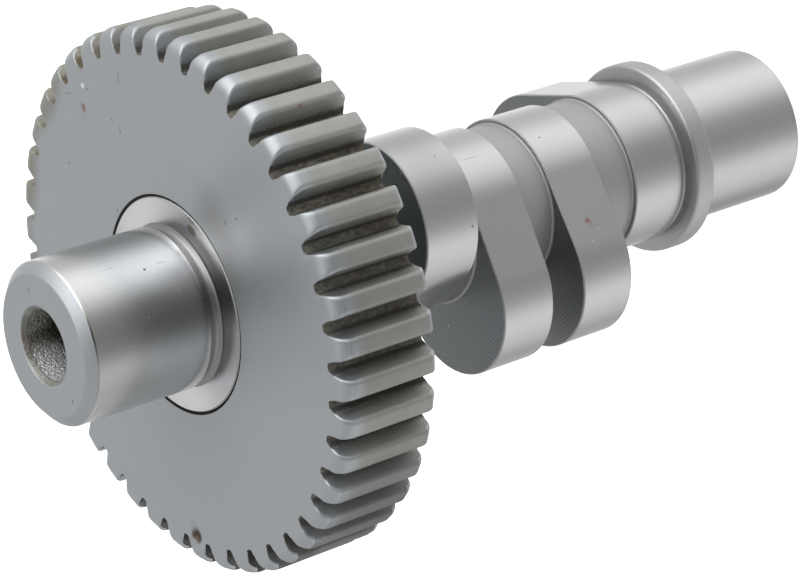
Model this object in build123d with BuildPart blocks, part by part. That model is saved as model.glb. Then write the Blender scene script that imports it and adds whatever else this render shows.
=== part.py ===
from build123d import *
from math import acos, cos, degrees, pi, radians, sin, tan
import os

# Engine camshaft with its timing gear, in millimetres.
# It stands on the end face of its rear journal: the origin is the centre of
# that face and +Z runs along the shaft to the nose journal.

# Journals
journal_diameter = 20.64
rear_journal_length = 17.8
rear_edge_break = 0.4
nose_journal_length = 17.3
nose_chamfer_axial = 1.2
nose_chamfer_radial = 1.37

# Thrust collar in front of the rear journal
collar_diameter = 25.8
collar_thickness = 3.0
collar_edge_break = 0.45

# Cam lobes, from the rear to the nose: the gap of core behind each one and
# the direction of its nose about Z; the core lies a little under the base circle
lobe_width = 8.1
lobe_gaps = (1.1, 5.6, 4.7, 5.85)
lobe_directions = (84.0, -161.0, -165.0, -68.5)
base_circle_diameter = 21.9
core_clearance = 0.7
lobe_nose_radius = 10.45
lobe_nose_offset = 9.9
lobe_edge_break = 0.25

# Shoulder and seat that carry the gear
shoulder_gap = 8.55
shoulder_diameter = 32.0
shoulder_thickness = 3.0
seat_diameter = 27.3
seat_edge_break = 0.45

# Grinding relief between the seat and the nose journal
relief_width = 1.65
relief_depth = 0.6

# Drilled hole in the nose end and centre hole in the rear end
nose_hole_diameter = 8.9
nose_hole_depth = 19.0
nose_hole_mouth_diameter = 10.2
nose_hole_mouth_depth = 0.6
centre_hole_diameter = 2.5
centre_hole_depth = 5.5
centre_hole_mouth_diameter = 6.0
centre_hole_angle = 60.0
drill_point_angle = 118.0

# Timing gear: its teeth are a little thicker than half their pitch, the
# rounded floor of each gap rises to its corners, and the ends of the teeth
# are rounded in a few flats
tooth_count = 42
module_size = 1.5875
pressure_angle = 14.5
tooth_addendum = 1.36
tooth_dedendum = 1.99
tooth_thickening = 0.44
gear_width = 13.8
tip_break = 0.5
root_width = 1.15
root_rise = 0.3
front_flat_count = 2
front_end_radial = 2.0
front_end_axial = 1.7
back_flat_count = 1
back_end_radial = 1.0
back_end_axial = 0.85
bore_edge_break = 0.35
first_gap_direction = 33.65
gear_press_allowance = 0.01

# Timing mark, punched at the foot of one tooth
mark_diameter = 2.3
mark_floor_diameter = 1.0
mark_depth = 0.45
mark_inset = 0.55
mark_tooth = 15

# Woodruff key between the seat and the gear
key_disc_diameter = 12.7
key_height = 5.16
key_width = 3.18
key_direction = 99.0
key_side_clearance = 0.02
key_top_clearance = 0.15

# How far a cut runs past the surface that it opens
cut_overrun = 1.0

os.makedirs("parts", exist_ok=True)

journal_radius = journal_diameter / 2
collar_radius = collar_diameter / 2
base_radius = base_circle_diameter / 2
core_radius = base_radius - core_clearance
seat_radius = seat_diameter / 2
relief_radius = journal_radius - relief_depth

# Stations along the shaft, from the rear end
collar_back = rear_journal_length
collar_front = collar_back + collar_thickness
lobe_backs = []
station = collar_front
for gap in lobe_gaps:
    lobe_backs.append(station + gap)
    station = lobe_backs[-1] + lobe_width
shoulder_back = station + shoulder_gap
gear_back = shoulder_back + shoulder_thickness
gear_front = gear_back + gear_width
nose_journal_back = gear_front + relief_width
nose_end = nose_journal_back + nose_journal_length

# Where the lobe's straight flanks touch its two circles
flank_angle = degrees(acos((base_radius - lobe_nose_radius) / lobe_nose_offset))
to_flank = Vector(1, 0, 0).rotate(Axis.Z, flank_angle)
nose_centre = Vector(lobe_nose_offset, 0, 0)
base_touch = to_flank * base_radius
nose_touch = nose_centre + to_flank * lobe_nose_radius


def drilled_hole(face, inward, mouth_diameter, diameter, cone_depth, depth):
    """Half the section of a hole along Z, with a cone at its mouth and a drill point at its end."""
    point_depth = diameter / 2 / tan(radians(drill_point_angle / 2))
    with BuildSketch(Plane.XZ) as section:
        with BuildLine():
            Polyline(
                (0, face),
                (mouth_diameter / 2, face),
                (diameter / 2, face + inward * cone_depth),
                (diameter / 2, face + inward * depth),
                (0, face + inward * (depth + point_depth)),
                close=True,
            )
        make_face()
    return section.sketch


def key_plane(side):
    """The plane of the key's disc, standing the given distance off the shaft's axis."""
    outward = Vector(1, 0, 0).rotate(Axis.Z, key_direction)
    across = Vector(0, 1, 0).rotate(Axis.Z, key_direction)
    middle = (gear_back + gear_front) / 2
    return Plane(across * side + Vector(0, 0, middle), x_dir=outward, z_dir=across)


# The key's disc stands half its width proud of the seat
key_top = seat_radius + key_width / 2
key_centre = key_top + key_disc_diameter / 2 - key_height
pocket_half_width = key_width / 2 + key_side_clearance

# Camshaft: one turned and ground piece with four lobes
with BuildPart() as camshaft:
    with BuildSketch(Plane.XZ):
        with BuildLine():
            Polyline(
                (0, 0),
                (journal_radius - rear_edge_break, 0),
                (journal_radius, rear_edge_break),
                (journal_radius, collar_back),
                (collar_radius - collar_edge_break, collar_back),
                (collar_radius, collar_back + collar_edge_break),
                (collar_radius, collar_front - collar_edge_break),
                (collar_radius - collar_edge_break, collar_front),
                (core_radius, collar_front),
                (core_radius, shoulder_back),
                (shoulder_diameter / 2, shoulder_back),
                (shoulder_diameter / 2, gear_back),
                (seat_radius, gear_back),
                (seat_radius, gear_front - seat_edge_break),
                (seat_radius - seat_edge_break, gear_front),
                (journal_radius, gear_front),
                (relief_radius, gear_front + relief_depth),
                (relief_radius, nose_journal_back),
                (journal_radius, nose_journal_back),
                (journal_radius, nose_end - nose_chamfer_axial),
                (journal_radius - nose_chamfer_radial, nose_end),
                (0, nose_end),
                close=True,
            )
        make_face()
    revolve(axis=Axis.Z)

    for back, direction in zip(lobe_backs, lobe_directions):
        toward_nose = Vector(1, 0, 0).rotate(Axis.Z, direction)
        with BuildSketch(Plane((0, 0, back), x_dir=toward_nose, z_dir=(0, 0, 1))):
            with BuildLine():
                Line(base_touch, nose_touch)
                mirror(about=Plane.XZ)
                nose_tip = (lobe_nose_offset + lobe_nose_radius, 0)
                ThreePointArc(nose_touch, nose_tip, nose_touch.rotate(Axis.X, 180))
                ThreePointArc(base_touch, (-base_radius, 0), base_touch.rotate(Axis.X, 180))
            make_face()
        extrude(amount=lobe_width)
        lobe_ends = camshaft.faces(Select.LAST).filter_by(Axis.Z)
        chamfer([edge for end in lobe_ends for edge in end.outer_wire().edges()], lobe_edge_break)

    nose_hole = drilled_hole(
        nose_end, -1, nose_hole_mouth_diameter, nose_hole_diameter, nose_hole_mouth_depth, nose_hole_depth
    )
    revolve(nose_hole, axis=Axis.Z, mode=Mode.SUBTRACT)

    cone_width = (centre_hole_mouth_diameter - centre_hole_diameter) / 2
    cone_depth = cone_width / tan(radians(centre_hole_angle / 2))
    centre_hole = drilled_hole(
        0, 1, centre_hole_mouth_diameter, centre_hole_diameter, cone_depth, centre_hole_depth
    )
    revolve(centre_hole, axis=Axis.Z, mode=Mode.SUBTRACT)

    # The key's pocket in the seat
    with BuildSketch(key_plane(-pocket_half_width)):
        with Locations((key_centre, 0)):
            Circle(key_disc_diameter / 2 + key_side_clearance)
    extrude(amount=2 * pocket_half_width, mode=Mode.SUBTRACT)
camshaft.part.label = "camshaft"

# Woodruff key: the part of a disc that lies in the seat, its flat top in the gear's keyway
with BuildPart() as gear_key:
    with BuildSketch(key_plane(-key_width / 2)):
        with Locations((key_centre, 0)):
            Circle(key_disc_diameter / 2)
        with Locations((key_top, 0)):
            Rectangle(
                key_disc_diameter,
                key_disc_diameter + cut_overrun,
                align=(Align.MIN, Align.CENTER),
                mode=Mode.SUBTRACT,
            )
    extrude(amount=key_width)
gear_key.part.label = "gear_key"

# Involute teeth, worked out for the gap between two of them
pitch_radius = tooth_count * module_size / 2
outside_radius = pitch_radius + tooth_addendum
root_radius = pitch_radius - tooth_dedendum
gear_base_radius = pitch_radius * cos(radians(pressure_angle))
tooth_thickness = pi * module_size / 2 + tooth_thickening
tooth_pitch = 360 / tooth_count


def involute(angle):
    """The involute function of an angle in radians."""
    return tan(angle) - angle


def flank_point(radius):
    """The point of the gap's flank at a radius, with the middle of the gap on +X."""
    contact_angle = acos(min(1, gear_base_radius / radius))
    turn = involute(radians(pressure_angle)) - involute(contact_angle)
    half_tooth = tooth_thickness / (2 * pitch_radius) + turn
    return Vector(radius, 0).rotate(Axis.Z, tooth_pitch / 2 - degrees(half_tooth))


def tooth_end(face, inward, flat_count, radial, axial):
    """Section of a rounded tooth end, from the gear's face out to the tips of its teeth."""
    turns = [pi / 2 * step / flat_count for step in range(flat_count + 1)]
    return [
        (outside_radius - radial * (1 - sin(turn)), face + inward * axial * (1 - cos(turn)))
        for turn in turns
    ]


flank_top_radius = outside_radius - tip_break
flank_foot = Vector(root_radius + root_rise, root_width / 2)
flank_top = flank_point(flank_top_radius)
flare_end = flank_top + Vector(tip_break + cut_overrun, tip_break + cut_overrun)

with BuildSketch() as tooth_gap:
    with BuildLine():
        foot = Line(flank_foot, flank_point(gear_base_radius))
        ThreePointArc(foot @ 1, flank_point((gear_base_radius + flank_top_radius) / 2), flank_top)
        Line(flank_top, flare_end)
        mirror(about=Plane.XZ)
        Line(flare_end, (flare_end.X, -flare_end.Y))
        ThreePointArc(flank_foot, (root_radius, 0), (flank_foot.X, -flank_foot.Y))
    make_face()

# Timing gear: a turned blank with its tooth gaps cut through
with BuildPart() as timing_gear:
    bore_radius = seat_radius + gear_press_allowance
    back_end = tooth_end(gear_back, 1, back_flat_count, back_end_radial, back_end_axial)
    front_end = tooth_end(gear_front, -1, front_flat_count, front_end_radial, front_end_axial)
    with BuildSketch(Plane.XZ):
        with BuildLine():
            Polyline(
                (bore_radius + bore_edge_break, gear_back),
                *back_end,
                *reversed(front_end),
                (bore_radius + bore_edge_break, gear_front),
                (bore_radius, gear_front - bore_edge_break),
                (bore_radius, gear_back + bore_edge_break),
                close=True,
            )
        make_face()
    revolve(axis=Axis.Z)

    with BuildSketch(Plane.XY.offset(gear_back)):
        with PolarLocations(0, tooth_count, start_angle=first_gap_direction):
            add(tooth_gap.sketch)
    extrude(amount=gear_width, mode=Mode.SUBTRACT)

    # Keyway through the bore
    with BuildSketch(Plane.XY.offset(gear_back)):
        with PolarLocations(0, 1, start_angle=key_direction):
            Rectangle(key_top + key_top_clearance, 2 * pocket_half_width, align=(Align.MIN, Align.CENTER))
    extrude(amount=gear_width, mode=Mode.SUBTRACT)

    # Timing mark
    mark_direction = first_gap_direction + (mark_tooth + 0.5) * tooth_pitch
    mark_centre = Vector(root_radius - mark_inset, 0, gear_front).rotate(Axis.Z, mark_direction)
    with Locations(mark_centre):
        Cone(
            mark_floor_diameter / 2,
            mark_diameter / 2,
            mark_depth,
            align=(Align.CENTER, Align.CENTER, Align.MAX),
            mode=Mode.SUBTRACT,
        )
timing_gear.part.label = "timing_gear"

export_step(camshaft.part, "parts/camshaft.step")
export_step(timing_gear.part, "parts/timing_gear.step")
export_step(gear_key.part, "parts/gear_key.step")
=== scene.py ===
"""Looks of an engine camshaft with its timing gear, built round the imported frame."""

import logging
import math
from dataclasses import dataclass
from enum import Enum
from typing import Callable, Union

import bmesh
import bpy
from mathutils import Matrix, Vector


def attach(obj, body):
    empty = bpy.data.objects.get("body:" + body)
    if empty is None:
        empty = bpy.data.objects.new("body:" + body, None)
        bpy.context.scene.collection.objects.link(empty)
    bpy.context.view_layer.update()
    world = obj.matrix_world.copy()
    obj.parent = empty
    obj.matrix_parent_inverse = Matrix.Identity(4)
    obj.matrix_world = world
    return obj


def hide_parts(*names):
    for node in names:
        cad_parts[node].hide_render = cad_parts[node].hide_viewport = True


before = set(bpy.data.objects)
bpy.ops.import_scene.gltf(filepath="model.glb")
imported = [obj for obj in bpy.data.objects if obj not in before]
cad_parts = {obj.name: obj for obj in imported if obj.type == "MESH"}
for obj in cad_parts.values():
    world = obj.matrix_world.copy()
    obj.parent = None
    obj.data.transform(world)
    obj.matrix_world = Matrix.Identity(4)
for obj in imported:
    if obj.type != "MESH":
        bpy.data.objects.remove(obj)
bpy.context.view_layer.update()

MM = 0.001
WELD = 0.0005  # The distance in millimetres under which points become one
SHARP = 32.0  # The angle in degrees past which an edge is drawn sharp
BODY = "root"
LOG = logging.getLogger("camshaft")

Node = bpy.types.Node
Number = Union[float, "Wire"]
Pair = tuple[float, float]
Triple = tuple[float, float, float]
Paint = Union[Triple, "Wire"]
Outline = list[Pair]
Slots = Union[int, Callable[[int], int]]


class Surface(Enum):
    """The kinds of surface that the shaft and the gear show."""

    GROUND = "ground"
    NOSE = "nose"
    TURNED = "turned"
    CORE = "core"
    LOBE_FACE = "lobe_face"
    DARK_FACE = "dark_face"
    RELIEF = "relief"
    SEAT = "seat"
    FACE = "face"
    MOUTH = "mouth"
    HOLE = "hole"
    TOOTH = "tooth"
    CREVICE = "crevice"


class Blemish(Enum):
    """The small marks, painted shade and painted highlight on the steel, each with its colour."""

    RUST = (0.2, 0.075, 0.03)
    # Real soiling, and also painted shade in the lower tooth gaps and the hole
    DIRT = (0.055, 0.05, 0.04)
    SILT = (0.3, 0.28, 0.22)
    SCALE = (0.165, 0.13, 0.085)
    # Painted shade, laid where the steel is to look less lit
    SHADE = (0.2, 0.2, 0.2)
    PIT = (0.09, 0.09, 0.09)
    # Painted highlight, and the colour of the pale dust specks
    GLINT = (0.95, 0.95, 0.97)


@dataclass(frozen=True)
class Pattern:
    """The grain of a noise.

    Attributes:
        density: How many patches there are in a millimetre.
        detail: How many finer layers the noise has.
        roughness: How strong the finer layers are.
    """

    density: float
    detail: float = 3.0
    roughness: float = 0.6


CLOUDS = Pattern(0.3, 4.0, 0.55)
FINE = Pattern(2.6)
WANDER = Pattern(0.5, 2.0, 0.5)
GRAINS = Pattern(1.9, 5.0, 0.75)
BROWNS = Pattern(0.35)
PITS = Pattern(2.2)

# How far the tool marks are drawn out round the shaft, and through a face across the axis
ROUND_DRAW = 0.05
FACE_DRAW = 0.1
# How much the clouds change the roughness
ROUGH_CLOUDS = 0.06


def operator(operation: str, swapped: bool = False) -> Callable[["Wire", Number], "Wire"]:
    """An arithmetic method of wires; swapped when the other number comes first."""

    def method(self: "Wire", other: Number) -> "Wire":
        """The result for this wire and another number."""
        return self.graph.maths(operation, *((other, self) if swapped else (self, other)))

    return method


class Wire:
    """An output socket that takes part in Python expressions."""

    __add__ = __radd__ = operator("ADD")
    __sub__ = operator("SUBTRACT")
    __rsub__ = operator("SUBTRACT", swapped=True)
    __mul__ = __rmul__ = operator("MULTIPLY")
    __truediv__ = operator("DIVIDE")

    def __init__(self, graph: "Graph", socket: bpy.types.NodeSocket) -> None:
        """Keep the socket with the graph that it belongs to."""
        self.graph = graph
        self.socket = socket


class Graph:
    """A node tree that is written as expressions."""

    def __init__(self, owner: Union[bpy.types.Material, bpy.types.World]) -> None:
        """Empty the node tree of a material or a world and keep it."""
        owner.use_nodes = True
        self.tree = owner.node_tree
        self.tree.nodes.clear()

    def node(self, kind: str, settings: dict | None = None, inputs: dict | None = None) -> Node:
        """Add a node.

        Args:
            kind: The node's type.
            settings: Its own properties, set first; stops gives a ramp's places and colours,
                and ramp the way it runs between them.
            inputs: Values, wires or nodes for its sockets, by name or number.

        Returns:
            The new node.
        """
        node = self.tree.nodes.new(kind)
        for name, value in (settings or {}).items():
            if name == "stops":
                self.set_stops(node.color_ramp, value)
            elif name == "ramp":
                node.color_ramp.interpolation = value
            else:
                setattr(node, name, value)
        for key, value in (inputs or {}).items():
            socket = node.inputs[key]
            if isinstance(value, Node):
                value = self.wire(value)
            if isinstance(value, Wire):
                self.tree.links.new(value.socket, socket)
            else:
                socket.default_value = value
        return node

    @staticmethod
    def set_stops(ramp: bpy.types.ColorRamp, stops: list[tuple[float, Triple]]) -> None:
        """Give a colour ramp its stops, each a place and a colour."""
        while len(ramp.elements) < len(stops):
            ramp.elements.new(1.0)
        for element, (place, colour) in zip(ramp.elements, stops):
            element.position = place
            element.color = (*colour, 1.0)

    def wire(self, node: Node, output: Union[int, str] = 0) -> Wire:
        """An output of a node, ready for expressions."""
        return Wire(self, node.outputs[output])

    def maths(self, operation: str, first: Number, second: Number = 0.0) -> Wire:
        """The result of a Math node on one or two numbers."""
        inputs = {0: first, 1: second}
        return self.wire(self.node("ShaderNodeMath", {"operation": operation}, inputs))

    def scaled(self, vector: Paint, factor: Number) -> Wire:
        """A vector or a colour times a number."""
        inputs = {0: vector, "Scale": factor}
        return self.wire(self.node("ShaderNodeVectorMath", {"operation": "SCALE"}, inputs))

    def length(self, vector: Wire) -> Wire:
        """The length of a vector."""
        node = self.node("ShaderNodeVectorMath", {"operation": "LENGTH"}, {0: vector})
        return self.wire(node, "Value")

    def ramp_up(self, value: Wire, low: float, high: float) -> Wire:
        """A soft step from 0 at low to 1 at high; high may be the lower of the two."""
        rising = high > low
        start, end = (low, high) if rising else (high, low)
        inputs = {"Value": value, "From Min": start, "From Max": end, "To Min": 0.0, "To Max": 1.0}
        settings = {"interpolation_type": "SMOOTHSTEP"}
        step = self.wire(self.node("ShaderNodeMapRange", settings, inputs))
        return step if rising else 1.0 - step

    def noise(self, place: Wire, pattern: Pattern) -> Wire:
        """A noise value about 0.5 at a place."""
        inputs = {
            "Vector": place,
            "Scale": pattern.density,
            "Detail": pattern.detail,
            "Roughness": pattern.roughness,
        }
        return self.wire(self.node("ShaderNodeTexNoise", inputs=inputs))

    def cells(self, place: Wire, density: float) -> Wire:
        """The distance to the nearest of scattered points, in steps between them."""
        inputs = {"Vector": place, "Scale": density, "Randomness": 1.0}
        return self.wire(self.node("ShaderNodeTexVoronoi", inputs=inputs))

    def mix(self, share: Wire, first: Paint, second: Paint) -> Wire:
        """A colour between two colours, with that share of the second one."""
        inputs = {0: share, 6: self.rgba(first), 7: self.rgba(second)}
        return self.wire(self.node("ShaderNodeMix", {"data_type": "RGBA"}, inputs), 2)

    def bump(self, height: Wire, depth: float, normal: Wire | None = None) -> Wire:
        """The direction of a surface that is embossed so many millimetres deep."""
        inputs = {"Strength": 1.0, "Distance": depth * MM, "Height": height}
        if normal is not None:
            inputs["Normal"] = normal
        return self.wire(self.node("ShaderNodeBump", inputs=inputs))

    def choose(self, path: Node, ray: str, other: Node, chosen: Node) -> Node:
        """A shader that is chosen for one kind of ray, and another one for the rest."""
        inputs = {0: self.wire(path, ray), 1: other, 2: chosen}
        return self.node("ShaderNodeMixShader", inputs=inputs)

    def split(self, vector: Wire) -> list[Wire]:
        """The three numbers of a vector."""
        parts = self.node("ShaderNodeSeparateXYZ", inputs={0: vector})
        return [self.wire(parts, axis) for axis in range(3)]

    def join(self, x: Number, y: Number, z: Number) -> Wire:
        """A vector from three numbers."""
        return self.wire(self.node("ShaderNodeCombineXYZ", inputs={0: x, 1: y, 2: z}))

    @staticmethod
    def rgba(colour: Paint) -> Union[Wire, tuple[float, ...]]:
        """A colour as a socket takes it."""
        return colour if isinstance(colour, Wire) else (*colour, 1.0)


class Point:
    """A point of the steel as wires, in millimetres from the shaft's rear end."""

    FLAT_FACING = (0.6, 0.8)

    def __init__(self, graph: Graph) -> None:
        """Read the point's place and tell the faces across the axis from the rest."""
        source = graph.node("ShaderNodeTexCoord")
        self.place = graph.scaled(graph.wire(source, "Object"), 1.0 / MM)
        self.x, self.y, self.height = graph.split(self.place)
        self.radius = graph.maths("SQRT", self.x * self.x + self.y * self.y)
        facing = graph.split(graph.wire(source, "Normal"))[2]
        self.flat = graph.ramp_up(graph.maths("ABSOLUTE", facing), *self.FLAT_FACING)
        self.fine = graph.noise(self.place, FINE)


@dataclass
class Look:
    """What a point of the steel looks like; each layer changes it.

    Attributes:
        colour: Its colour.
        roughness: How rough it is.
        metal: How metallic it is.
    """

    colour: Wire
    roughness: Wire
    metal: Number


@dataclass(frozen=True)
class Spot:
    """A layer that is one small mark, painted shade or painted highlight, in millimetres from the
    shaft's rear end.

    Attributes:
        kind: What sort of mark, painted shade or painted highlight it is.
        place: Its middle.
        size: Its half sizes along its own three axes.
        strength: How much of it shows.
        soft: How gently it fades, from 0 to 1.
        turn: How far it is turned about the shaft's axis, in degrees.
        ragged: How ragged the edge of a sharp mark is.
    """

    kind: Blemish
    place: Triple
    size: Triple
    strength: float
    soft: float = 0.3
    turn: float = 0.0
    ragged: float = 0.9

    def lay(self, graph: Graph, point: Point, look: Look) -> None:
        """Colour the steel inside the mark, the painted shade or the painted highlight."""
        turn = (0.0, 0.0, math.radians(self.turn))
        inputs = {0: point.place, 1: self.place, 2: turn, 3: self.size}
        local = graph.wire(graph.node("ShaderNodeMapping", {"vector_type": "TEXTURE"}, inputs))
        reach = graph.length(local) + (point.fine - 0.5) * (self.ragged - self.soft)
        cover = graph.ramp_up(reach, 1.0 + self.soft, 1.0 - self.soft) * self.strength
        look.colour = graph.mix(cover, look.colour, self.kind.value)
        if self.kind is Blemish.RUST:
            look.metal = look.metal - cover


@dataclass(frozen=True)
class Specks:
    """A layer of scattered pale specks.

    Attributes:
        radius: How large they are, in millimetres.
        density: How many rows of them there are in a millimetre.
        core: What share of the radius is at full strength.
        strength: How much of them shows.
    """

    radius: float
    density: float
    core: float = 0.3
    strength: float = 0.3

    def lay(self, graph: Graph, point: Point, look: Look) -> None:
        """Put the specks on the steel."""
        reach = self.radius * self.density
        distance = graph.cells(point.place, self.density)
        speck = graph.ramp_up(distance, reach, reach * self.core) * self.strength
        look.colour = graph.mix(speck, look.colour, Blemish.GLINT.value)
        look.metal = look.metal - speck


@dataclass(frozen=True)
class GapDarkening:
    """A layer that darkens the lower flanks between the teeth, with grains of silt on the floor of
    the gaps.

    Attributes:
        reach: The radii between which the darkening comes in, in millimetres.
        reach_wander: How far those radii wander.
        floor: The radii between which the silt comes in, in millimetres.
        floor_wander: How far those radii wander.
        draw: How much the grains are drawn out along the axis.
        grains: The part of their noise over which the grains come in.
        browns: The part of its noise over which the silt turns brown.
        brown: How brown it turns.
        cover: How much of the layer shows.
        roughness: How much rougher it is than the steel.
        dulling: How much less metallic it is than the steel.
    """

    reach: Pair = (32.9, 32.05)
    reach_wander: float = 0.9
    floor: Pair = (31.7, 31.42)
    floor_wander: float = 0.3
    draw: float = 0.6
    grains: Pair = (0.3, 0.64)
    browns: Pair = (0.42, 0.62)
    brown: float = 0.8
    cover: float = 0.9
    roughness: float = 0.2
    dulling: float = 0.6

    def lay(self, graph: Graph, point: Point, look: Look) -> None:
        """Darken the lower flanks and lay the silt on the steel."""
        wander = point.fine - 0.5
        darkening = graph.ramp_up(point.radius + wander * self.reach_wander, *self.reach)
        floor = graph.ramp_up(point.radius + wander * self.floor_wander, *self.floor)
        streak = graph.join(point.x, point.y, point.height * self.draw)
        grains = graph.ramp_up(graph.noise(streak, GRAINS), *self.grains)
        browns = graph.ramp_up(graph.noise(streak, BROWNS), *self.browns)
        silt = graph.mix(browns * self.brown, Blemish.SILT.value, Blemish.SCALE.value)
        layer = graph.mix(grains * floor, Blemish.DIRT.value, silt)
        look.colour = graph.mix(darkening * self.cover, look.colour, layer)
        look.roughness = look.roughness + darkening * self.roughness
        look.metal = look.metal - darkening * self.dulling


Layer = Union[Spot, Specks, GapDarkening]


@dataclass(frozen=True)
class Blend:
    """A change to another colour and roughness along the axis.

    Attributes:
        colour: The other colour.
        roughness: The other roughness.
        reach: The places along the axis at which the change starts and ends, in millimetres.
    """

    colour: Triple
    roughness: float
    reach: Pair


@dataclass(frozen=True)
class SteelFinish:
    """A finish of bare steel, with its marks at their real size.

    Attributes:
        name: The material's name.
        colour: The clean metal's colour.
        roughness: How rough the metal is.
        marks: The depth of the tool marks, in millimetres.
        mark_density: How many tool marks there are in a millimetre.
        streaks: How strongly the tool marks change the colour.
        clouds: How cloudy the colour is.
        metal: How metallic the surface is.
        pitted: The depth of coarse pitting, in millimetres.
        blend: How the clean metal changes along the axis, if it does.
        layers: What lies on the metal, from the lowest up.
        ring_pitch: The spacing of regular turning rings, in millimetres; 0 for none.
        ring_fade: The places along Y between which the rings come out, in millimetres.
        ring_height: How high the rings stand among the tool marks.
        ring_wander: How far they wander from their circles, in millimetres.
    """

    name: str
    colour: Triple
    roughness: float
    marks: float
    mark_density: float
    streaks: float = 0.1
    clouds: float = 0.1
    metal: float = 1.0
    pitted: float = 0.0
    blend: Blend | None = None
    layers: tuple[Layer, ...] = ()
    ring_pitch: float = 0.0
    ring_fade: Pair = (-2.0, -7.5)
    ring_height: float = 0.34
    ring_wander: float = 0.25

    def material(self) -> bpy.types.Material:
        """Make the finish as a material."""
        material = bpy.data.materials.new(self.name)
        graph = Graph(material)
        point = Point(graph)
        marks = self.tool_marks(graph, point)
        look = self.clean(graph, point, marks)
        for layer in self.layers:
            layer.lay(graph, point, look)
        normal = graph.bump(marks, self.marks)
        if self.pitted:
            normal = graph.bump(graph.noise(point.place, PITS), self.pitted, normal)
        inputs = {
            "Base Color": look.colour,
            "Metallic": look.metal,
            "Roughness": look.roughness,
            "Normal": normal,
        }
        shader = graph.node("ShaderNodeBsdfPrincipled", inputs=inputs)
        graph.node("ShaderNodeOutputMaterial", inputs={0: shader})
        return material

    def tool_marks(self, graph: Graph, point: Point) -> Wire:
        """The height of the tool marks, which run round the axis everywhere."""
        pattern = Pattern(self.mark_density)
        x, y = point.x * ROUND_DRAW, point.y * ROUND_DRAW
        round_marks = graph.noise(graph.join(x, y, point.height), pattern)
        across = graph.join(point.radius, point.height * FACE_DRAW, 0.0)
        face_marks = graph.noise(across, pattern)
        if self.ring_pitch:
            wander = graph.noise(point.place, WANDER) * self.ring_wander
            phase = (point.radius + wander) * (2 * math.pi / self.ring_pitch)
            strength = graph.ramp_up(point.y, *self.ring_fade) * self.ring_height
            face_marks = graph.maths("SINE", phase) * strength + (face_marks + 0.5) * 0.5
        return round_marks * (1.0 - point.flat) + face_marks * point.flat

    def clean(self, graph: Graph, point: Point, marks: Wire) -> Look:
        """The bare metal, with its tool marks and clouds."""
        clouds = graph.noise(point.place, CLOUDS) - 0.5
        tone = 1.0 + (marks - 0.5) * self.streaks + clouds * self.clouds
        colour, roughness = self.colour, self.roughness + clouds * ROUGH_CLOUDS
        if self.blend:
            share = graph.ramp_up(point.height, *self.blend.reach)
            colour = graph.mix(share, self.colour, self.blend.colour)
            roughness = roughness + share * (self.blend.roughness - self.roughness)
        return Look(graph.scaled(colour, tone), roughness, self.metal)


RUST, DIRT, SILT, SCALE, SHADE, PIT, GLINT = Blemish

FACE_COLOUR = (0.485, 0.51, 0.53)
FACE_ROUGHNESS = 0.52

# The gear's front face: pits, rust, scale and silt, a painted highlight on a nick, and painted
# shade beside the nose journal.
FACE_SPOTS = (
    # Painted highlight on a nick
    Spot(GLINT, (28.0, 9.68, 95.8), (0.36, 0.42, 0.3), 0.75),
    Spot(PIT, (27.5, 8.9, 95.8), (0.16, 0.3, 0.3), 0.35),
    Spot(PIT, (27.2, 13.4, 95.8), (0.1, 0.9, 0.3), 0.3),
    Spot(RUST, (25.25, 10.65, 95.8), (0.6, 0.42, 0.3), 0.75),
    # Painted shade on the face beside the nose journal, against its bright reflection there
    Spot(SHADE, (7.8, -13.2, 95.8), (5.0, 3.4, 0.5), 0.55, 0.8),
    Spot(SHADE, (8.9, -17.6, 95.8), (5.0, 5.0, 1.0), 0.3, 0.9),
    Spot(SHADE, (9.6, -24.6, 95.8), (7.0, 5.6, 1.0), 0.3, 0.9),
    Spot(SILT, (27.3, 20.3, 95.0), (7.0, 3.2, 2.4), 0.6, 0.4, turn=-53.0),
    Spot(SILT, (17.2, 29.4, 95.0), (8.0, 3.2, 2.4), 0.65, 0.4, turn=-30.0),
    Spot(SILT, (3.6, 33.8, 95.0), (8.0, 3.2, 2.4), 0.65, 0.4, turn=-6.0),
    Spot(PIT, (23.42, 4.58, 95.8), (0.22, 0.2, 0.3), 0.4),
    Spot(PIT, (21.99, 3.3, 95.8), (0.25, 0.2, 0.3), 0.4),
    Spot(PIT, (18.4, 17.29, 95.8), (0.2, 0.25, 0.3), 0.35),
    Spot(RUST, (12.07, 8.2, 95.8), (0.22, 0.18, 0.3), 0.6),
    Spot(PIT, (28.5, 0.95, 95.8), (0.8, 0.1, 0.3), 0.5, turn=165.5),
    Spot(PIT, (24.26, 11.09, 95.8), (0.6, 0.08, 0.3), 0.3, turn=150.0),
    Spot(SCALE, (-30.3, 7.75, 95.4), (1.1, 1.0, 0.42), 0.9, 0.5),
    Spot(DIRT, (-30.1, 7.7, 95.3), (0.6, 0.6, 0.4), 0.6, 0.6),
    Spot(SCALE, (10.1, -15.63, 95.8), (0.3, 0.25, 0.3), 0.5),
    Spot(PIT, (10.54, -18.2, 95.8), (0.22, 0.3, 0.3), 0.35),
)
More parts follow.
